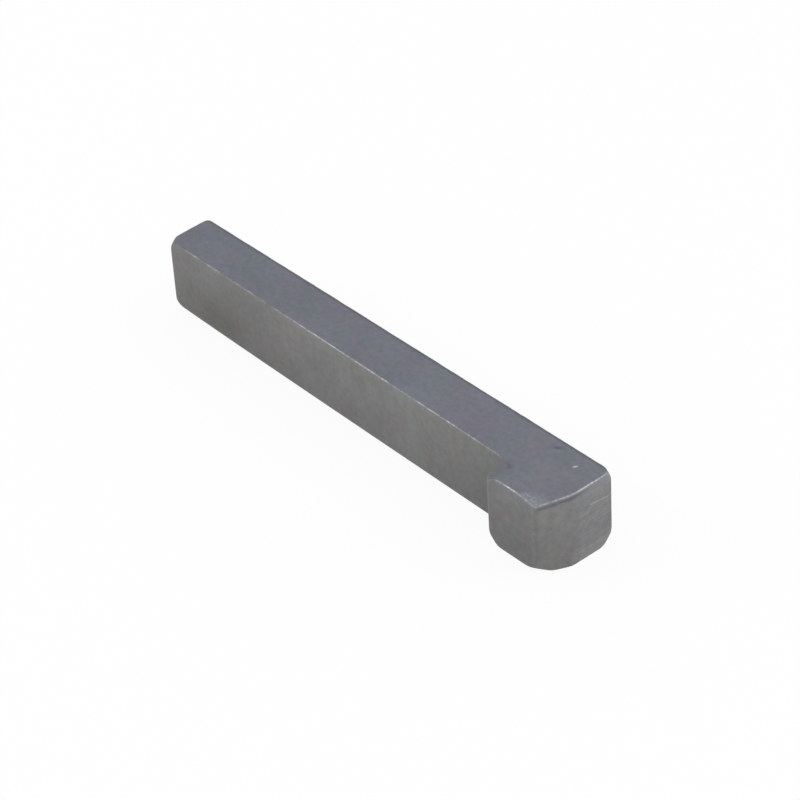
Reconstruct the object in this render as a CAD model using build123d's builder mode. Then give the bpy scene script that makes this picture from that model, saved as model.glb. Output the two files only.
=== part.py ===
"""Gib head key: a tapered steel key with a hooked head, lying on its L-shaped side."""
from build123d import *
import os

os.makedirs("parts", exist_ok=True)

# Main sizes, in millimetres. The key lies on its side, so its width stands upright.
key_width = 12.0
shank_height = 8.0
shank_length = 70.0
taper = 1 / 100
head_length = 11.55
head_height = 11.7

# The end of the head, which takes the hammer, is ground to a low crown. A slope takes off the corner between
# it and the head's top, and blends into the crown.
end_crown = 0.2
bevel_length = 1.95
bevel_height = 4.3
bevel_top_radius = 1.5
bevel_end_radius = 3.0

# Rounding of the upright edges: in the hook's root, at the corners in front, and at the ones beside the keyseat.
root_radius = 0.8
corner_radius = 0.8
keyseat_corner_radius = 0.7

# Rounding of the long edges, round the side that faces up and round the side that lies down.
upper_edge_radius = 0.35
lower_edge_radius = 0.6

# Two upper corners of the head are worn off to a long flat. Each flat is given by how far it runs from the corner
# along the head's top, how far it runs along the face beside it, and how deep it goes.
bevel_flat_along_top = 3.3
bevel_flat_along_bevel = 3.6
bevel_flat_depth = 0.45
hook_flat_along_top = 3.0
hook_flat_along_inner_face = 3.0
hook_flat_depth = 1.2

# The two lower corners of the head, and the front ones of the thin end, are knocked off. The first chip is longer
# than it is high. The other ones run equally far from their corners along all three edges.
bevel_chip_length = 2.7
bevel_chip_height = 1.5
hook_chip = 2.0
thin_upper_chip = 1.5
thin_lower_chip = 2.1

# The key is centred over the side that it lies on. Its head is towards +X and its keyseat face towards +Y.
total_length = shank_length + head_length
thin_end_x = -total_length / 2
root_x = thin_end_x + shank_length
crown_x = total_length / 2
crown_edge_x = crown_x - end_crown
keyseat_y = head_height / 2
head_top_y = -head_height / 2
bevel_end_y = head_top_y + bevel_height
thin_end_height = shank_height - taper * shank_length

thin_keyseat_corner = Vector(thin_end_x, keyseat_y)
thin_taper_corner = Vector(thin_end_x, keyseat_y - thin_end_height)
root = Vector(root_x, keyseat_y - shank_height)
hook_corner = Vector(root_x, head_top_y)
bevel_top_corner = Vector(crown_edge_x - bevel_length, head_top_y)
bevel_end_corner = Vector(crown_edge_x, bevel_end_y)
crown_top = Vector(crown_x, (bevel_end_y + keyseat_y) / 2)
end_keyseat_corner = Vector(crown_edge_x, keyseat_y)

rounded_outline = [
    (end_keyseat_corner, keyseat_corner_radius),
    (thin_keyseat_corner, keyseat_corner_radius),
    (thin_taper_corner, corner_radius),
    (root, root_radius),
    (hook_corner, corner_radius),
    (bevel_top_corner, bevel_top_radius),
    (bevel_end_corner, bevel_end_radius),
]


def worn_flat(corner, inward, first_way, first_length, second_way, second_length, depth):
    """The plane of a flat on a corner, and the flat's three points in that plane. Inward is up or down."""
    points = [
        corner + first_way.normalized() * first_length,
        corner + second_way.normalized() * second_length,
        corner + inward * depth,
    ]
    outward = (points[1] - points[0]).cross(points[2] - points[0]).normalized()
    if outward.dot(inward) > 0:
        outward = -outward
    plane = Plane(origin=points[0], x_dir=points[1] - points[0], z_dir=outward)
    return plane, [plane.to_local_coords(point) for point in points]


up = Vector(0, 0, 1)
width_way = up * key_width
along_top = hook_corner - bevel_top_corner
along_bevel = bevel_end_corner - bevel_top_corner
along_hook_face = root - hook_corner
along_taper = root - thin_taper_corner
along_thin_end = thin_keyseat_corner - thin_taper_corner

worn_corners = [
    worn_flat(
        bevel_top_corner + width_way,
        -up,
        along_top,
        bevel_flat_along_top,
        along_bevel,
        bevel_flat_along_bevel,
        bevel_flat_depth,
    ),
    worn_flat(
        hook_corner + width_way,
        -up,
        -along_top,
        hook_flat_along_top,
        along_hook_face,
        hook_flat_along_inner_face,
        hook_flat_depth,
    ),
    worn_flat(
        bevel_top_corner,
        up,
        along_top,
        bevel_chip_length,
        along_bevel,
        bevel_chip_length,
        bevel_chip_height,
    ),
    worn_flat(hook_corner, up, -along_top, hook_chip, along_hook_face, hook_chip, hook_chip),
    worn_flat(
        thin_taper_corner + width_way,
        -up,
        along_taper,
        thin_upper_chip,
        along_thin_end,
        thin_upper_chip,
        thin_upper_chip,
    ),
    worn_flat(thin_taper_corner, up, along_taper, thin_lower_chip, along_thin_end, thin_lower_chip, thin_lower_chip),
]

with BuildPart() as key:
    with BuildSketch(Plane.XY) as side_view:
        with BuildLine():
            Polyline([corner for corner, radius in rounded_outline])
            ThreePointArc(bevel_end_corner, crown_top, end_keyseat_corner)
        make_face()
        for corner, radius in rounded_outline:
            fillet(side_view.vertices().sort_by_distance(corner)[0], radius)
    extrude(amount=key_width)

    fillet(key.faces().sort_by(Axis.Z)[-1].edges(), upper_edge_radius)
    fillet(key.faces().sort_by(Axis.Z)[0].edges(), lower_edge_radius)

    for plane, triangle in worn_corners:
        with BuildSketch(plane):
            with BuildLine():
                Polyline(triangle, close=True)
            make_face()
        extrude(amount=key_width, mode=Mode.SUBTRACT)

key.part.label = "gib_head_key"
export_step(key.part, "parts/gib_head_key.step")
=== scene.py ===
"""The looks of a gib head key: ground steel, dulled and a little worn, lying on a white floor."""
import math

import bpy
import numpy as np
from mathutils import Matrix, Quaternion, Vector, noise


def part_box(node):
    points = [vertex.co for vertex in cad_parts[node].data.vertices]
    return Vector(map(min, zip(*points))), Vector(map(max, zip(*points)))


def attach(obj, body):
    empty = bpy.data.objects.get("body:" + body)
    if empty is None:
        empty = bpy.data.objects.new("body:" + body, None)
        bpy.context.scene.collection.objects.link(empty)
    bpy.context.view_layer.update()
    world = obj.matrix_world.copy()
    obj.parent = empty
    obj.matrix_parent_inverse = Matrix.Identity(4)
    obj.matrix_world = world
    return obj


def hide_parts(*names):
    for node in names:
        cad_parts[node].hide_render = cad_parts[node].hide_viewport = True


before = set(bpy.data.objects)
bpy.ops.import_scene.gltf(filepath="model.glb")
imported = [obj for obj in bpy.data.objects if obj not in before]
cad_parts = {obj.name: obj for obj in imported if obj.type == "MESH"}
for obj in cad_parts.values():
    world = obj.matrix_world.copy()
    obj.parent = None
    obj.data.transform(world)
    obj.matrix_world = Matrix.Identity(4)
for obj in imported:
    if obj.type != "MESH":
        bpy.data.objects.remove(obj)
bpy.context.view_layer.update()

# The key's mesh is worked out in millimetres, in the frame's own axes, and written in metres.
mm = 0.001
box_corners = [np.array(corner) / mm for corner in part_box("gib_head_key")]
(low_x, low_y, low_z), (high_x, high_y, high_z) = box_corners

# Main sizes. The key lies on its side, so its width stands upright. Its head is towards +X.
shank_height = 8.0
shank_length = 70.0
taper = 1 / 100
bevel_length = 2.08
bevel_height = 4.4

# The end of the head is ground to a low crown. Its top reaches about as far as the CAD solid's, and it falls
# back from there to its edge with the bevel and to its edge with the keyseat face.
crown_round = 14.0
crown_from_keyseat = 2.3
fall_to_bevel = 0.12
fall_to_keyseat = 0.08

root_x = low_x + shank_length
root_y = high_y - shank_height
thin_end_y = root_y + taper * shank_length
bevel_end_x = high_x - fall_to_bevel
bevel_top_x = bevel_end_x - bevel_length

# The plan outline goes round against the clock, seen from above. Each side starts at the corner in the same
# place of the list below it, and ends at the next one. A side has the radius of its upper rim and of its
# lower rim, the number of mesh steps along it, and how bright its upper rim is, from wear and a painted
# highlight. A corner has the radius of its upright edge, at the top and at the foot, and the number of its
# steps. Two sides get their steps further down.
sides = {
    "thin_end": dict(upper=0.40, lower=1.5, steps=44, worn=0.2),
    "taper_face": dict(upper=0.26, lower=0.77, steps=220, worn=0.5),
    "hook_face": dict(upper=0.40, lower=0.7, steps=16, worn=0.0),
    "head_top": dict(upper=0.32, lower=0.9, steps=60, worn=1.1),
    "bevel": dict(upper=0.30, lower=0.35, steps=24, worn=1.0),
    "end_front": dict(upper=0.30, lower=0.3, steps=0, worn=1.0),
    "end_back": dict(upper=0.30, lower=0.3, steps=14, worn=0.8),
    "keyseat_face": dict(upper=0.28, lower=0.7, steps=0, worn=0.1),
}
corners = {
    "thin_keyseat": dict(at=(low_x, high_y), upper=0.7, lower=0.35, steps=8),
    "thin_taper": dict(at=(low_x, thin_end_y), upper=0.56, lower=0.56, steps=8),
    "root": dict(at=(root_x, root_y), upper=0.8, lower=0.8, steps=10),
    "hook": dict(at=(root_x, low_y), upper=0.8, lower=0.8, steps=10),
    "bevel_top": dict(at=(bevel_top_x, low_y), upper=0.4, lower=1.3, steps=12),
    "bevel_end": dict(at=(bevel_end_x, low_y + bevel_height), upper=7.0, lower=3.0, steps=10),
    "crown": dict(at=(high_x, high_y - crown_from_keyseat), upper=crown_round, lower=crown_round, steps=10),
    "end_keyseat": dict(at=(high_x - fall_to_keyseat, high_y), upper=0.18, lower=0.18, steps=8),
}
levels = ("upper", "lower")
side_names = list(sides)
corner_names = list(corners)
smallest_radius = 0.12

corner_at = np.array([corner["at"] for corner in corners.values()])
side_way = np.roll(corner_at, -1, axis=0) - corner_at
side_way /= np.linalg.norm(side_way, axis=1)[:, None]
side_out = np.stack([side_way[:, 1], -side_way[:, 0]], axis=1)
side_rim = {level: np.array([side[level] for side in sides.values()]) for level in levels}
wall_radius = {level: np.array([corner[level] for corner in corners.values()]) for level in levels}
side_steps = {name: side["steps"] for name, side in sides.items()}
corner_steps = {name: corner["steps"] for name, corner in corners.items()}


def steps_between(first, last):
    """How many mesh steps there are from the middle of one corner to the middle of a later one."""
    start, end = corner_names.index(first), corner_names.index(last)
    on_sides = sum(side_steps[name] for name in side_names[start:end])
    on_corners = sum(corner_steps[name] for name in corner_names[start + 1:end])
    return on_sides + on_corners + corner_steps[first] // 2 + corner_steps[last] // 2


# The two flat faces are filled by a grid. Its front edge runs from the thin end's corner along the taper,
# round the hook and down the bevel, and its back edge is the keyseat face, so both have the same number of
# steps. The grid's other two edges, the thin end and the head's end, match in the same way.
front_steps = steps_between("thin_taper", "bevel_end")
cross_steps = steps_between("thin_keyseat", "thin_taper")
side_steps["end_front"] = cross_steps - steps_between("bevel_end", "end_keyseat")
side_steps["keyseat_face"] = front_steps - (corner_steps["end_keyseat"] + corner_steps["thin_keyseat"]) // 2

# A ring of points goes round the outline once. A corner's middle is the number of the point half round it.
middle = {}
ring_size = 0
for side, corner in zip(sides, corners):
    middle[corner] = ring_size + corner_steps[corner] // 2
    ring_size += corner_steps[corner] + side_steps[side]

# The mesh steps are closer together near corners and rims, the more so the nearer these are to 1.
thin_end_crowding = 0.4
taper_crowding = 0.45
wall_crowding = 0.8

# Across the head the mesh lines slant and spread out. The partners that these places in front have in the
# back lie so far past the root.
behind_root = 2.5
behind_hook = 5.0
behind_bevel_top = 8.75


def crowded(steps, crowding):
    """Even fractions from 0 to 1, crowded towards both ends."""
    share = np.linspace(0, 1, steps + 1)
    return share - crowding * np.sin(2 * math.pi * share) / (2 * math.pi)


def back_fractions():
    """Where the steps along the keyseat face lie, so that each one stands behind its partner in front."""
    taper_steps = crowded(side_steps["taper_face"], taper_crowding) * shank_length
    taper_marks = corner_steps["thin_taper"] // 2 + np.arange(len(taper_steps))
    head_marks = [middle[name] - middle["thin_taper"] for name in ("hook", "bevel_top", "bevel_end")]
    taper_back_x = low_x + taper_steps * (1 + behind_root / shank_length)
    back_x = np.r_[taper_back_x, root_x + behind_hook, root_x + behind_bevel_top, high_x]
    first = front_steps - corner_steps["end_keyseat"] // 2
    partners = np.arange(first, first - side_steps["keyseat_face"] - 1, -1)
    x = np.interp(partners, np.r_[taper_marks, head_marks], back_x)
    return (x[0] - x) / (x[0] - x[-1])


side_fractions = {name: np.linspace(0, 1, steps + 1) for name, steps in side_steps.items()}
side_fractions["thin_end"] = crowded(side_steps["thin_end"], thin_end_crowding)
side_fractions["taper_face"] = crowded(side_steps["taper_face"], taper_crowding)
side_fractions["keyseat_face"] = back_fractions()


def ring(insets, radii):
    """The plan outline, with each side moved in by its inset and each corner rounded to its radius."""
    arcs = []
    for i, steps in enumerate(corner_steps.values()):
        before, after = side_out[i - 1], side_out[i]
        reach = [before @ corner_at[i] - insets[i - 1], after @ corner_at[i] - insets[i]]
        corner = np.linalg.solve(np.array([before, after]), reach)
        turn = math.atan2(before[0] * after[1] - before[1] * after[0], before @ after)
        bulge = math.copysign(radii[i], turn)
        centre = corner - bulge * (before + after) / (1 + before @ after)
        angles = math.atan2(before[1], before[0]) + turn * np.linspace(0, 1, steps + 1)
        arcs.append(centre + bulge * np.stack([np.cos(angles), np.sin(angles)], axis=1))
    points = []
    for arc, next_arc, fractions in zip(arcs, arcs[1:] + arcs[:1], side_fractions.values()):
        points.append(arc)
        points.append(arc[-1] + (next_arc[0] - arc[-1]) * fractions[1:-1, None])
    return np.concatenate(points)


def smooth(value, start, end):
    """0 before the start, 1 past the end, and an easy slope between them."""
    share = np.clip((value - start) / (end - start), 0, 1)
    return share * share * (3 - 2 * share)


def fade(value, start, end):
    """1 before the start, 0 past the end, and an easy slope between them."""
    return 1 - smooth(value, start, end)


def hump(value, centre, reach):
    """1 at the centre, and falling smoothly on both sides, to about a third at the reach."""
    return np.exp(-((value - centre) / reach) ** 2)


def soft_step(height, softness):
    """0 well below 0, the height itself well above it, and a rounded bend between the two."""
    return softness * np.logaddexp(0, height / softness)


def noise_at(points, size, seed):
    """Smooth noise, from about -1 to 1, whose bumps are about the given size across."""
    return np.array([noise.noise(Vector(point) / size + Vector((seed, 0, 0))) for point in points.tolist()])


def along_ring(side_values):
    """One value for each point of a ring, from one value a side, blended round each corner."""
    values = []
    for i, (side, corner) in enumerate(zip(sides, corners)):
        share = smooth(np.linspace(0, 1, corner_steps[corner] + 1), 0, 1)
        values.append(side_values[i - 1] + (side_values[i] - side_values[i - 1]) * share)
        values.append(np.full(side_steps[side] - 1, side_values[i]))
    return np.concatenate(values)


def ring_values(**named):
    """One value for each point of a ring, from the sides that are named. The other sides have 0."""
    return along_ring([named.get(name, 0) for name in sides])


# At both levels: the outline of the walls, the radius of the rim at each of its points, and the way in from
# there to the flat face. The root is a hollow corner, so its radius grows as its two sides move in.
wall_plan = {}
rim = {}
inward = {}
root = corner_names.index("root")
for level, rims in side_rim.items():
    wall_plan[level] = ring(np.zeros(len(sides)), wall_radius[level])
    rim[level] = along_ring(rims)
    beside = (rims + np.roll(rims, 1)) / 2
    inner_radius = np.maximum(wall_radius[level] - beside, smallest_radius)
    inner_radius[root] = wall_radius[level][root] + beside[root]
    inward[level] = ring(rims, inner_radius) - wall_plan[level]

# The long edge between the taper face and the upper side was dressed by hand, so its rounding comes and
# goes. The other upper edges are less uneven, and the one over the hook's inner face is even.
station_x, station_y = wall_plan["upper"].T
stations = np.column_stack([station_x, station_y, np.full(ring_size, high_z)])
dressing = 1 + 0.45 * noise_at(stations, size=2.2, seed=3) + 0.3 * noise_at(stations, size=0.7, seed=11)
dressing = 1 + (dressing - 1) * ring_values(
    thin_end=0.5,
    taper_face=1,
    head_top=0.4,
    bevel=0.4,
    end_front=0.4,
    end_back=0.4,
    keyseat_face=0.5,
)

# The long edge below it is more rounded towards the thin end, where the key has been knocked about most.
extra_rounding = 0.8
extra_reach = 18.0
lower_wear = extra_rounding * np.exp((low_x - wall_plan["lower"][:, 0]) / extra_reach)
lower_wear = 1 + lower_wear * ring_values(taper_face=1)

rim_steps = 8
wall_levels = 22
wall_shares = crowded(wall_levels + 1, wall_crowding)[1:-1]
lower_angles = np.linspace(math.pi / 2, 0, rim_steps + 1)
upper_angles = np.linspace(0, math.pi / 2, rim_steps + 1)


def rim_ring(level, angle):
    """One ring of a rim: in the wall where the angle is 0, in the flat face where it is a quarter turn."""
    uneven = dressing if level == "upper" else lower_wear
    plan = wall_plan[level] + inward[level] * ((1 - math.cos(angle)) * uneven)[:, None]
    rise = rim[level] * uneven * (1 - math.sin(angle))
    height = high_z - rise if level == "upper" else low_z + rise
    return np.column_stack([plan, height])


lower_rings = [rim_ring("lower", angle) for angle in lower_angles]
upper_rings = [rim_ring("upper", angle) for angle in upper_angles]
wall_rings = [lower_rings[-1] * (1 - share) + upper_rings[0] * share for share in wall_shares]
rings = lower_rings + wall_rings + upper_rings


def four_edges(loop):
    """The front, head, back and thin edge of a flat face's grid, from what goes round it in a ring."""
    front = loop[middle["thin_taper"]:middle["bevel_end"] + 1]
    head = loop[middle["bevel_end"]:middle["end_keyseat"] + 1]
    back = np.concatenate([loop[middle["end_keyseat"]:], loop[:middle["thin_keyseat"] + 1]])[::-1]
    thin = loop[middle["thin_keyseat"]:middle["thin_taper"] + 1][::-1]
    return front, head, back, thin


def share_along(edge):
    """How far along its edge each point lies, as a share of the edge's length."""
    length = np.cumsum(np.r_[0, np.linalg.norm(np.diff(edge, axis=0), axis=1)])
    return length / length[-1]


def flat_grid(outline):
    """A grid of points that fills a flat face inside its outline, blended from the outline's four edges."""
    front, head, back, thin = four_edges(outline)
    across = ((share_along(thin) + share_along(head)) / 2)[None, :, None]
    along = share_along(back)[:, None, None]
    grid = front[:, None] * (1 - across) + back[:, None] * across
    grid = grid + thin[None] * (1 - along) + head[None] * along
    grid -= (front[0] * (1 - across) + back[0] * across) * (1 - along)
    grid -= (front[-1] * (1 - across) + back[-1] * across) * along
    return grid


def flat_faces(start, inner_start):
    """The faces of a flat grid, from the number of its ring's first point and of its first point inside."""
    numbers = np.full((front_steps + 1, cross_steps + 1), -1)
    numbers[:, 0], numbers[-1], numbers[:, -1], numbers[0] = four_edges(start + np.arange(ring_size))
    inside = numbers[1:-1, 1:-1]
    inside[:] = inner_start + np.arange(inside.size).reshape(inside.shape)
    near, far = numbers[:-1], numbers[1:]
    quads = np.stack([near[:, :-1], far[:, :-1], far[:, 1:], near[:, 1:]], axis=-1)
    return quads.reshape(-1, 4)


points = np.concatenate(rings)
here = np.arange(ring_size)
ahead = np.roll(here, -1)
band = np.stack([here, ahead, ahead + ring_size, here + ring_size], axis=1)
faces = [band + row * ring_size for row in range(len(rings) - 1)]
for row, upward in ((0, False), (len(rings) - 1, True)):
    flat = flat_faces(row * ring_size, len(points))
    faces.append(flat if upward else flat[:, ::-1])
    points = np.concatenate([points, flat_grid(rings[row])[1:-1, 1:-1].reshape(-1, 3)])
faces = np.concatenate(faces)
x, y, z = points.T

# A shallow worn slope runs round the head's bevel corner, as a fan that falls towards it. It is measured
# along the head's top and along the bevel.
worn_along_top = 3.5
worn_along_bevel = 4.1
worn_depth = 0.52
worn_softness = 0.08
bevel_way = side_way[side_names.index("bevel")]
along_bevel = (y - low_y) / bevel_way[1]
along_top = bevel_top_x + along_bevel * bevel_way[0] - x
fan = np.hypot(along_top / worn_along_top, along_bevel / worn_along_bevel)
worn_fall = worn_depth * soft_step(1 - fan, worn_softness)

# The hook's upper edge is rounded over, more and more from the root to its corner.
turned_along_top = 3.0
turned_along_face = 4.3
turned_depth = 1.35
from_hook = np.hypot((x - root_x) / turned_along_top, (y - low_y) / turned_along_face)
turned_fall = turned_depth * np.clip(1 - from_hook, 0, 1) ** 2

# Both are caps: what stands above them is lowered to them.
edge_z = high_z - np.maximum(worn_fall, turned_fall)
points[:, 2] -= np.maximum(z - edge_z, 0)

# The other knocked-off corners. Each is a flat that runs so far from the corner along the side before it,
# along the side after it and along the upright edge.
chips = (
    dict(corner="bevel_top", level="lower", before=2.4, after=2.4, upright=1.8, rounding=0.12),
    dict(corner="hook", level="lower", before=2.4, after=2.4, upright=2.4, rounding=0.12),
    dict(corner="thin_taper", level="upper", before=1.5, after=1.5, upright=1.5, rounding=0.12),
    dict(corner="thin_taper", level="lower", before=1.8, after=1.8, upright=1.8, rounding=0.12),
    dict(corner="thin_keyseat", level="upper", before=0.6, after=0.6, upright=0.6, rounding=0.1),
    dict(corner="end_keyseat", level="upper", before=1.1, after=1.1, upright=1.1, rounding=0.1),
    dict(corner="end_keyseat", level="lower", before=1.5, after=1.5, upright=1.5, rounding=0.25),
)


def knock_off(corner, level, before, after, upright, rounding):
    """Push the points near a corner back to the flat across it."""
    i = corner_names.index(corner)
    vertex = np.array([*corner_at[i], high_z if level == "upper" else low_z])
    along_edge = -upright if level == "upper" else upright
    legs = np.array([(*(-side_way[i - 1] * before), 0), (*(side_way[i] * after), 0), (0, 0, along_edge)])
    inner = np.linalg.solve(legs, np.ones(3))
    depth = 1 / np.linalg.norm(inner)
    inner *= depth
    reach = 1.5 * max(before, after, upright)
    near = np.linalg.norm(points - vertex, axis=1) < reach
    beyond = depth - (points[near] - vertex) @ inner
    points[near] += soft_step(beyond, rounding)[:, None] * inner


for chip in chips:
    knock_off(**chip)

# Small hollow marks in the upper side of the head: a nick that carries a painted glint, a dent darkened with
# painted shade, and a spot by the root darkened with painted shade in its hollow.
hollows = {
    "nick": dict(at=(36.84, 3.09), way=(0.54, 0.84), length=0.92, width=0.5, depth=0.05),
    "dent": dict(at=(32.54, 4.24), way=(0.82, 0.57), length=2.0, width=0.6, depth=0.04),
    "root_spot": dict(at=(30.7, -2.78), way=(-0.77, 0.64), length=1.3, width=0.45, depth=0.05),
}
hollow_sharpness = 1.4


def hollow_share(hollow):
    """How far each point is inside a small oval mark: 1 in its middle, falling smoothly to 0 round it."""
    offset = np.column_stack([x, y]) - hollow["at"]
    way_x, way_y = hollow["way"]
    along = offset @ np.array([way_x, way_y]) / (hollow["length"] / 2)
    across = offset @ np.array([-way_y, way_x]) / (hollow["width"] / 2)
    on_top = smooth(z, high_z - 0.3, high_z - 0.1)
    return np.exp(-(along ** 2 + across ** 2) * hollow_sharpness) * on_top


in_hollow = {name: hollow_share(hollow) for name, hollow in hollows.items()}
points[:, 2] -= sum(hollow["depth"] * in_hollow[name] for name, hollow in hollows.items())


def lean_of_surface():
    """How far the surface leans at each point, in degrees: 0 where it faces up, 90 where it is upright."""
    outward = np.cross(points[faces[:, 2]] - points[faces[:, 0]], points[faces[:, 3]] - points[faces[:, 1]])
    normals = np.zeros_like(points)
    for corner in range(4):
        np.add.at(normals, faces[:, corner], outward)
    return np.degrees(np.arccos(normals[:, 2] / np.linalg.norm(normals, axis=1)))


def over_walls(values):
    """A value for each point, from one for each point of a ring. It is 0 inside the flat faces."""
    result = np.zeros(len(points))
    result[:len(rings) * ring_size] = np.tile(values, len(rings))
    return result


# How bright each edge is, from wear and a painted highlight, first round the upper rim alone. It is patchy,
# but less so over the bevel and over the end.
lean = lean_of_surface()
upright = smooth(lean, 25, 65)
patchy = 0.7 + 1.3 * noise_at(stations, size=1.6, seed=21) + 1.1 * noise_at(stations, size=0.5, seed=31)
patchy = np.maximum(np.clip(patchy, 0.05, 1.7), ring_values(bevel=0.6, end_front=0.8, end_back=0.6))
edge_worn = along_ring([side["worn"] for side in sides.values()]) * patchy

# The edge over the head's top has one bright stretch.
head_stretch_x = 32.6
head_front_worn = 0.55 + 0.6 * hump(station_x, head_stretch_x, 1.5)
edge_worn *= np.where(station_y > low_y + 0.5, 1, head_front_worn)

# The shank's long edge is brightest in the middle, and has one bright stretch near the thin end. It has
# neither wear nor painted highlight right beside the root, and nor has the edge round the hook's corner.
thin_stretch_x = -34.4
long_worn = 0.27 + 0.7 * smooth(station_x, -20, -5)
long_worn = long_worn - 0.5 * smooth(station_x, 17, 21) - 0.25 * smooth(station_x, 22, 26)
long_worn += 0.45 * hump(station_x, thin_stretch_x, 1.4)
long_worn *= smooth(station_x, low_x + 2.0, low_x + 5.0)
edge_worn *= np.where((station_y < 0) & (station_x < root_x - 0.2), long_worn, 1)
beside_root = smooth(station_x, root_x - 1.4, root_x - 0.5) * fade(station_x, root_x + 0.9, root_x + 2.2)
edge_worn *= np.where(station_y < 0, 1 - beside_root, 1)

# Then across the rim: the wear and the painted highlight are strongest where the surface leans half way.
# Where an edge is hardly worn it is darker instead, and so is a line along the back of the upper side.
half_way = 45
edge_spread = np.where(x > bevel_top_x, 21, 17)
edge_shape = hump(lean, half_way, edge_spread) * smooth(z, high_z - 1.6, high_z - 1.2)
edge_shape *= over_walls(np.ones(ring_size))
ridge = edge_shape * over_walls(edge_worn)
darker_edge = edge_shape * np.clip(1 - 2.2 * over_walls(edge_worn), 0, 1)
darker_edge *= over_walls(ring_values(thin_end=1, taper_face=1, hook_face=0.6, keyseat_face=1))
back_line = smooth(y, high_y - 0.75, high_y - 0.35) * (1 - upright)

# The worn slope meets the walls in a sharp edge, which is bright too, from wear and a painted highlight. A
# point's inset is how far it lies in from the wall, round the upper rim. Inside the flat faces it is too far
# for the edge to show.
below_edge = edge_z - z
rim_insets = [rim["upper"] * (1 - math.cos(angle)) for angle in upper_angles]
inset = np.full(len(points), 1.0)
inset[:len(rings) * ring_size] = 0
inset[(len(rings) - len(upper_rings)) * ring_size:len(rings) * ring_size] = np.concatenate(rim_insets)
sharp_edge = hump(np.hypot(inset, below_edge), 0, 0.12) * smooth(worn_fall, 0.02, 0.15)
# The worn slope is bare metal, and is made lighter still with painted light.
slope_worn = smooth(worn_fall, 0.005, 0.12) * fade(along_bevel, 0.8, 3.0) * (1 - upright)

# A line of painted shade lies under the upper edge of the bevel and of the end's front half. Under the rest
# of the upper edge is a faint painted glow, a painted highlight.
dark_line = hump(below_edge, 0.60, 0.27) * upright
dark_line *= smooth(x, bevel_top_x - 0.2, bevel_top_x + 0.3) * fade(y, -1.5, 4.5)
glow = np.exp(-np.clip(below_edge, 0, None) / 0.6) * upright * (1 - dark_line)

# A soft painted highlight runs down the head's top beside the bevel corner, and a line of painted shade down
# the bevel.
corner_away = along_bevel - np.maximum(bevel_top_x - x, 0)
in_front = fade(y, -3.0, -1.5) * upright
corner_highlight = hump(corner_away, -0.5, 0.33) * in_front * smooth(z, 0.5, 3.0) * fade(z, 10.0, 11.2)
corner_shade = hump(corner_away, 0.15, 0.42) * in_front * fade(z, 10.6, 11.4)

# The tip of the hook gets a painted highlight. Then all that is bright, wear and painted highlights, is
# summed up, and all that is dark: marks, darker edges and painted shade.
hook_tip_highlight = hump(x, root_x + 0.4, 0.8) * hump(y, low_y, 0.5) * (1 - upright)
worn = np.clip(ridge + 0.8 * sharp_edge + 0.16 * glow + 0.12 * corner_highlight + 0.7 * hook_tip_highlight, 0, 1)
dark_marks_and_shade = 0.6 * in_hollow["dent"] + 0.5 * in_hollow["root_spot"]
dark_marks_and_shade = np.clip(dark_marks_and_shade + 0.68 * dark_line + 0.7 * darker_edge + 0.4 * back_line, 0, 1)

# The end is freshly ground, apart from a strip beside the bevel.
on_end = smooth(x, high_x - 1.0, high_x - 0.6) * smooth(y, -1.5, 0.5) * upright

# Painted light and shade on the walls, set side by side. The taper face is painted darker at both its ends,
# and most walls get painted shade low down. The head's end gets a painted sheen near its upper edge and
# painted light near its foot.
wall_shade = over_walls(ring_values(
    thin_end=1.0,
    hook_face=1.0,
    head_top=0.95,
    bevel=1.12,
    end_front=1.11,
    end_back=1.10,
    keyseat_face=1.0,
))
taper_shade = 0.93 + 0.14 * smooth(x, -30, -5) - 0.12 * smooth(x, 15, 25)
wall_shade += over_walls(ring_values(taper_face=1)) * taper_shade
# Painted shade low down and painted light high up on most walls.
lighter_high = ring_values(thin_end=1, taper_face=1, hook_face=1, head_top=1.5, bevel=0.8, keyseat_face=1)
wall_shade *= 1 + 0.07 * over_walls(lighter_high) * smooth(z, 3, 11)
end_share = over_walls(ring_values(end_front=1, end_back=1))
# The end's painted sheen near its upper edge and painted light near its foot.
wall_shade *= 1 + end_share * (0.11 * smooth(z, 9, 11.3) + 0.16 * fade(z, 1.5, 3.5) - 0.03)

# The head's walls are mottled, and carry a line of painted shade beside the bevel corner.
head_share = over_walls(ring_values(hook_face=1, head_top=1, bevel=1, end_front=1, end_back=1))
wall_shade *= 1 + 0.07 * noise_at(points, size=0.9, seed=41) * head_share
wall_shade *= 1 - 0.07 * corner_shade

# Painted light and shade on the upper side. It is painted lighter on the head and on one stretch of the
# shank, and a soft painted shadow lies beside the root.
top_shade = 0.975 + 0.06 * smooth(x, 5, 15) - 0.05 * smooth(x, 18, 22) + 0.05 * smooth(x, 25, 29)
top_shade -= 0.07 * hump(x, 30.2, 2.0) * hump(y, -3.2, 2.0)
shade = wall_shade * upright + top_shade * (1 - upright)

# A dull warm stain on the front, towards the thin end.
stain = hump(x, -28.5, 4.0) * hump(z, 4.5, 3.0) + 0.4 * fade(x, -34, -18) * fade(z, 4, 9)
stain = np.clip(stain, 0, 1) * upright * fade(y, -0.5, 0)

# The head's walls are tinted cooler near their upper edge, a painted reflection of the sky, and the whole
# end is tinted cooler too, less strongly.
cool = np.clip(smooth(z, 9, 11.5) * smooth(x, root_x, root_x + 2) + 0.35 * end_share, 0, 1) * upright

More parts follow.
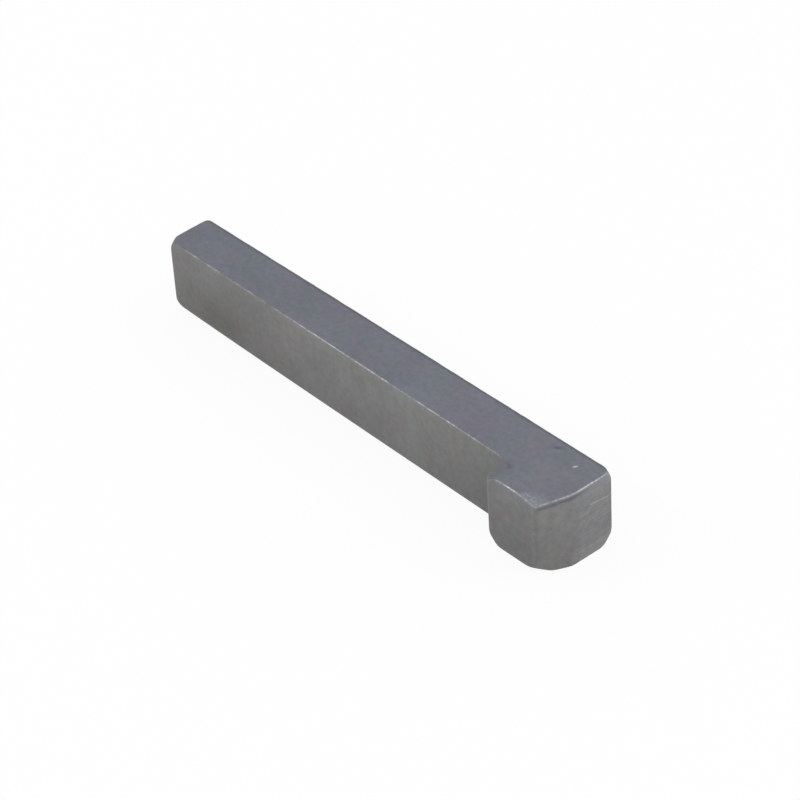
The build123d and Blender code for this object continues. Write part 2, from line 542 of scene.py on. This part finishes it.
# The mesh carries these values at its points, and the steel reads them by their names.
point_values = {
    "worn": worn,
    "rubbed_and_lightened": slope_worn,
    "ground": on_end,
    "dark_marks_and_shade": dark_marks_and_shade,
    "shade": shade,
    "stain": stain,
    "turned": fade(from_hook, 0.45, 0.95) * (1 - upright),
    "cool": cool,
    "upright": upright,
}
mesh = bpy.data.meshes.new("gib_head_key_dressed")
mesh.from_pydata((points * mm).tolist(), [], faces.tolist())
for name, values in point_values.items():
    attribute = mesh.attributes.new(name, "FLOAT", "POINT")
    attribute.data.foreach_set("value", values.astype(np.float32))
mesh.validate()
mesh.shade_smooth()
key = bpy.data.objects.new("key_dressed", mesh)
bpy.context.scene.collection.objects.link(key)
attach(key, "root")
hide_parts("gib_head_key")


class Nodes:
    """Short calls for the nodes of one material or world."""

    def __init__(self, tree):
        self.tree = tree

    def add(self, kind, **settings):
        node = self.tree.nodes.new(kind)
        for name, value in settings.items():
            setattr(node, name, value)
        return node

    def put(self, value, socket):
        if isinstance(value, bpy.types.NodeSocket):
            self.tree.links.new(value, socket)
        else:
            socket.default_value = value

    def math(self, operation, first, second):
        node = self.add("ShaderNodeMath", operation=operation)
        self.put(first, node.inputs[0])
        self.put(second, node.inputs[1])
        return node.outputs[0]

    def blend(self, share, first, second, mode="MIX"):
        """Two colours, mixed or multiplied by a share."""
        node = self.add("ShaderNodeMix", data_type="RGBA", blend_type=mode)
        self.put(share, node.inputs["Factor"])
        self.put(first, node.inputs[6])
        self.put(second, node.inputs[7])
        return node.outputs[2]

    def remap(self, value, start, end, new_start, new_end):
        """A value whose range from start to end is stretched to a new one, and held at its two ends."""
        node = self.add("ShaderNodeMapRange")
        for socket, number in zip(node.inputs, (value, start, end, new_start, new_end)):
            self.put(number, socket)
        return node.outputs[0]

    def value_of(self, name):
        """A value that the mesh carries at each point."""
        return self.add("ShaderNodeAttribute", attribute_name=name).outputs["Fac"]

    def cloud(self, size, seed, detail=2.0, stretch=(1, 1, 1)):
        """Noise from 0 to 1 whose spots are so many millimetres across, longer where stretch is above 1."""
        place = self.add("ShaderNodeMapping")
        self.put(self.add("ShaderNodeTexCoord").outputs["Object"], place.inputs["Vector"])
        place.inputs["Location"].default_value = (seed, seed, seed)
        place.inputs["Scale"].default_value = [1 / (mm * size * way) for way in stretch]
        texture = self.add("ShaderNodeTexNoise")
        self.put(place.outputs[0], texture.inputs["Vector"])
        texture.inputs["Scale"].default_value = 1
        texture.inputs["Detail"].default_value = detail
        return texture.outputs["Fac"]

    def mottle(self, size, seed, low, high, spread=(0.3, 0.7), **settings):
        """A cloud whose values run from low to high, stretched from where most of them lie."""
        return self.remap(self.cloud(size, seed, **settings), *spread, low, high)

    def streak(self, axes, start, end, width, fading):
        """1 on a thin straight line between two points, given along two of the axes, and 0 away from it."""
        split = self.add("ShaderNodeSeparateXYZ")
        self.put(self.add("ShaderNodeTexCoord").outputs["Object"], split.inputs[0])
        offsets = [self.math("SUBTRACT", split.outputs[i], at * mm) for i, at in zip(axes, start)]
        way = Vector(end) - Vector(start)
        length = way.length * mm
        way.normalize()
        parts = [self.math("MULTIPLY", offset, share) for offset, share in zip(offsets, way)]
        along = self.math("ADD", parts[0], parts[1])
        parts = [self.math("MULTIPLY", offset, share) for offset, share in zip(offsets, (-way.y, way.x))]
        across = self.math("ABSOLUTE", self.math("ADD", parts[0], parts[1]), 0)
        beside = self.remap(across, 0.2 * width * mm, width * mm, 1, 0)
        begun = self.remap(along, 0, fading * mm, 0, 1)
        ended = self.remap(along, length - fading * mm, length, 1, 0)
        return self.math("MULTIPLY", beside, self.math("MULTIPLY", begun, ended))


def steel_tint(nodes):
    """The steel's own colour: soft patches of two greys, tinted where the mesh says so, with fine flecks."""
    violet, teal = (0.216, 0.200, 0.198, 1), (0.196, 0.206, 0.192, 1)
    patches = nodes.mottle(size=4.5, seed=1, low=-0.5, high=0.5)
    strength = nodes.math("SUBTRACT", 1.0, nodes.math("MULTIPLY", nodes.value_of("upright"), 0.6))
    patches = nodes.math("ADD", nodes.math("MULTIPLY", patches, strength), 0.5)
    color = nodes.blend(patches, violet, teal)

    olive = (0.94, 1.0, 0.90, 1)
    olive_share = nodes.mottle(size=2.6, seed=5, low=0, high=0.4, spread=(0.4, 0.75))
    color = nodes.blend(olive_share, color, olive, "MULTIPLY")
    # The cool tint is partly a painted reflection of the sky.
    tints = {
        "stain": (0.89, 0.865, 0.82, 1),
        "turned": (0.97, 0.98, 0.87, 1),
        "cool": (1.0, 1.01, 1.08, 1),
        "rubbed_and_lightened": (0.96, 1.02, 0.98, 1),
    }
    for name, tint in tints.items():
        color = nodes.blend(nodes.value_of(name), color, tint, "MULTIPLY")

    # The flecks run from rose to green and from straw to blue.
    rose, green = (1.025, 0.98, 1.005, 1), (0.975, 1.02, 0.995, 1)
    straw, blue = (1.025, 1.0, 0.97, 1), (0.975, 1.0, 1.03, 1)
    for size, seed, first, second in ((0.9, 13, rose, green), (1.2, 14, straw, blue)):
        flecks = nodes.blend(nodes.mottle(size, seed, low=0, high=1, detail=3.0), first, second)
        color = nodes.blend(1.0, color, flecks, "MULTIPLY")
    return color


def steel_shade(nodes):
    """How light the steel is, about 1 or less: mottled, painted lighter and darker, lined where it is
    ground, and dark in its marks and painted shade.
    """
    broad = nodes.mottle(size=7.0, seed=2, low=0.96, high=1.04, detail=1.0)
    spots = nodes.mottle(size=0.8, seed=3, low=0.91, high=1.09, spread=(0.25, 0.75), detail=3.0)
    grain = nodes.mottle(size=0.16, seed=4, low=0.93, high=1.07, spread=(0.25, 0.75))
    tall = nodes.mottle(size=1.1, seed=8, low=0.985, high=1.015, detail=1.0, stretch=(1, 1, 10))
    level = nodes.math("MULTIPLY", nodes.math("MULTIPLY", broad, spots), nodes.math("MULTIPLY", grain, tall))
    # The painted light and shade that the mesh carries.
    level = nodes.math("MULTIPLY", level, nodes.value_of("shade"))

    # Grinding lines across the end, nearly along Y, and one long scratch among them, placed by its Y and Z.
    fine_and_long = dict(detail=1.0, stretch=(1, 60, 1))
    lines = nodes.mottle(size=0.16, seed=6, low=1.0, high=1.22, spread=(0.35, 0.7), **fine_and_long)
    scratch = nodes.streak((1, 2), start=(1.7, 8.7), end=(5.25, 8.1), width=0.13, fading=0.3)
    lines = nodes.math("ADD", lines, nodes.math("MULTIPLY", scratch, 0.6))
    ground = nodes.value_of("ground")
    ground_level = nodes.math("ADD", nodes.math("MULTIPLY", ground, nodes.math("SUBTRACT", lines, 1.0)), 1.0)
    level = nodes.math("MULTIPLY", level, ground_level)

    # Marks, darker edges and painted shade darken the steel.
    dark_level = nodes.math("SUBTRACT", 1.0, nodes.math("MULTIPLY", nodes.value_of("dark_marks_and_shade"), 0.6))
    return nodes.math("MULTIPLY", level, dark_level)


def with_bare_metal(nodes, color):
    """The colour, with bare metal and painted highlights over it on the worn edges, broken up by fine spots,
    and a painted glint in the nick.
    """
    # Bare metal, which also serves as the painted highlight on the edges and the painted light on the worn
    # slope.
    bare_metal_and_highlight = (0.48, 0.47, 0.44, 1)
    speckled = nodes.mottle(size=0.3, seed=12, low=0.02, high=0.46, detail=3.0)
    color = nodes.blend(nodes.math("MULTIPLY", nodes.value_of("rubbed_and_lightened"), speckled), color, bare_metal_and_highlight)
    broken = nodes.mottle(size=0.36, seed=7, low=0.25, high=1.1, spread=(0.38, 0.6))
    color = nodes.blend(nodes.math("MULTIPLY", nodes.value_of("worn"), broken), color, bare_metal_and_highlight)

    # The nick's painted glint is a short bright line, placed by its X and Y.
    nick_at = np.array(hollows["nick"]["at"])
    half_nick = np.array(hollows["nick"]["way"]) * hollows["nick"]["length"] / 2
    ends = [(nick_at - half_nick).tolist(), (nick_at + half_nick).tolist()]
    glint = nodes.streak((0, 1), *ends, width=0.2, fading=0.4)
    glint = nodes.math("MULTIPLY", glint, nodes.math("SUBTRACT", 1.0, nodes.value_of("upright")))
    painted_glint_colour = (0.66, 0.64, 0.60, 1)
    return nodes.blend(glint, color, painted_glint_colour)


def make_steel():
    """Dull ground steel: mottled in colour, bare and bright where it is worn, with painted highlights and
    shade, freshly ground on the end.
    """
    material = bpy.data.materials.new("steel")
    material.use_nodes = True
    nodes = Nodes(material.node_tree)
    shader = material.node_tree.nodes["Principled BSDF"]
    shader.inputs["Metallic"].default_value = 1

    color = steel_tint(nodes)
    level = steel_shade(nodes)
    grey = nodes.add("ShaderNodeCombineColor")
    for socket in grey.inputs:
        nodes.put(level, socket)
    color = nodes.blend(1.0, color, grey.outputs[0], "MULTIPLY")
    nodes.put(with_bare_metal(nodes, color), shader.inputs["Base Color"])

    nodes.put(nodes.mottle(size=3.0, seed=9, low=0.40, high=0.50), shader.inputs["Roughness"])

    bump = nodes.add("ShaderNodeBump")
    bump.inputs["Strength"].default_value = 1
    bump.inputs["Distance"].default_value = 0.004 * mm
    nodes.put(nodes.cloud(0.22, seed=10, detail=4.0), bump.inputs["Height"])
    nodes.put(bump.outputs[0], shader.inputs["Normal"])
    return material


mesh.materials.append(make_steel())


def seen_by(nodes, camera_share, reflected_share):
    """A socket with one share for the camera's rays, another for reflections, and 0 for the light itself."""
    path = nodes.add("ShaderNodeLightPath")
    reflected = nodes.math("MAXIMUM", path.outputs["Is Glossy Ray"], path.outputs["Is Transmission Ray"])
    for_camera = nodes.math("MULTIPLY", path.outputs["Is Camera Ray"], camera_share)
    for_reflections = nodes.math("MULTIPLY", reflected, reflected_share)
    return nodes.math("MAXIMUM", for_camera, for_reflections)


def mix_shaders(nodes, share, first, second):
    """The first shader where the share is 0, and the second where it is 1."""
    mix = nodes.add("ShaderNodeMixShader")
    for value, socket in zip((share, first.outputs[0], second.outputs[0]), mix.inputs):
        nodes.put(value, socket)
    return mix


def make_world():
    """Soft daylight from all round. The camera sees it as plain white, and the steel as a cool sky."""
    world = bpy.data.worlds.new("studio")
    bpy.context.scene.world = world
    world.use_nodes = True
    nodes = Nodes(world.node_tree)
    light = world.node_tree.nodes["Background"]
    light.inputs["Color"].default_value = (0.96, 0.98, 1, 1)
    light.inputs["Strength"].default_value = 0.85
    sky = nodes.add("ShaderNodeBackground")
    sky.inputs["Color"].default_value = (0.784, 0.818, 1, 1)
    sky.inputs["Strength"].default_value = 1.1
    white = nodes.add("ShaderNodeBackground")
    white.inputs["Color"].default_value = (1, 1, 1, 1)
    white.inputs["Strength"].default_value = 1
    seen = mix_shaders(nodes, seen_by(nodes, camera_share=0, reflected_share=1), light, sky)
    seen = mix_shaders(nodes, seen_by(nodes, camera_share=1, reflected_share=0), seen, white)
    nodes.put(seen.outputs[0], world.node_tree.nodes["World Output"].inputs["Surface"])


def make_floor():
    """A white floor, just below the key. It keeps a faint shadow."""
    floor_mesh = bpy.data.meshes.new("floor")
    reach = 3.0
    below_key = 0.02
    sheet = [(-reach, -reach, 0), (reach, -reach, 0), (reach, reach, 0), (-reach, reach, 0)]
    floor_mesh.from_pydata(sheet, [], [(0, 1, 2, 3)])
    floor = bpy.data.objects.new("floor", floor_mesh)
    floor.location.z = -below_key * mm
    bpy.context.scene.collection.objects.link(floor)
    paint = bpy.data.materials.new("floor_white")
    paint.use_nodes = True
    nodes = Nodes(paint.node_tree)
    matt = paint.node_tree.nodes["Principled BSDF"]
    matt.inputs["Base Color"].default_value = (0.93, 0.93, 0.93, 1)
    matt.inputs["Roughness"].default_value = 0.9
    glow = nodes.add("ShaderNodeEmission")
    glow.inputs["Strength"].default_value = 1
    mixed = mix_shaders(nodes, seen_by(nodes, camera_share=0.92, reflected_share=0.4), matt, glow)
    nodes.put(mixed.outputs[0], paint.node_tree.nodes["Material Output"].inputs["Surface"])
    floor_mesh.materials.append(paint)


def add_lamp(name, direction, radiance):
    """A square soft lamp, in a direction from the key and aimed at it."""
    distance = 600 * mm
    size = 300 * mm
    data = bpy.data.lights.new(name, "AREA")
    data.size = size
    data.energy = radiance * math.pi * size ** 2
    lamp = bpy.data.objects.new(name, data)
    bpy.context.scene.collection.objects.link(lamp)
    lamp.location = Vector(direction).normalized() * distance
    lamp.rotation_mode = "QUATERNION"
    lamp.rotation_quaternion = (-lamp.location).to_track_quat("-Z", "Y")


def make_camera():
    """The camera looks down at the key from beyond its head, on the side that the hook points to."""
    data = bpy.data.cameras.new("camera")
    data.sensor_width = 36
    data.lens = 147.231
    camera = bpy.data.objects.new("camera", data)
    bpy.context.scene.collection.objects.link(camera)
    camera.location = Vector((271.671, -222.811, 279.294)) * mm
    aim = Vector((4.504, 1.594, 6.0)) * mm
    roll = math.radians(-3.5926)
    camera.rotation_mode = "QUATERNION"
    level_turn = (aim - camera.location).to_track_quat("-Z", "Y")
    camera.rotation_quaternion = level_turn @ Quaternion((0, 0, 1), roll)
    bpy.context.scene.camera = camera


make_world()
make_floor()
add_lamp("front_left", direction=(-0.61, -0.61, 0.51), radiance=2.0)
add_lamp("back_right", direction=(0.61, 0.51, 0.61), radiance=1.6)
make_camera()
bpy.context.scene.view_settings.view_transform = "Standard"
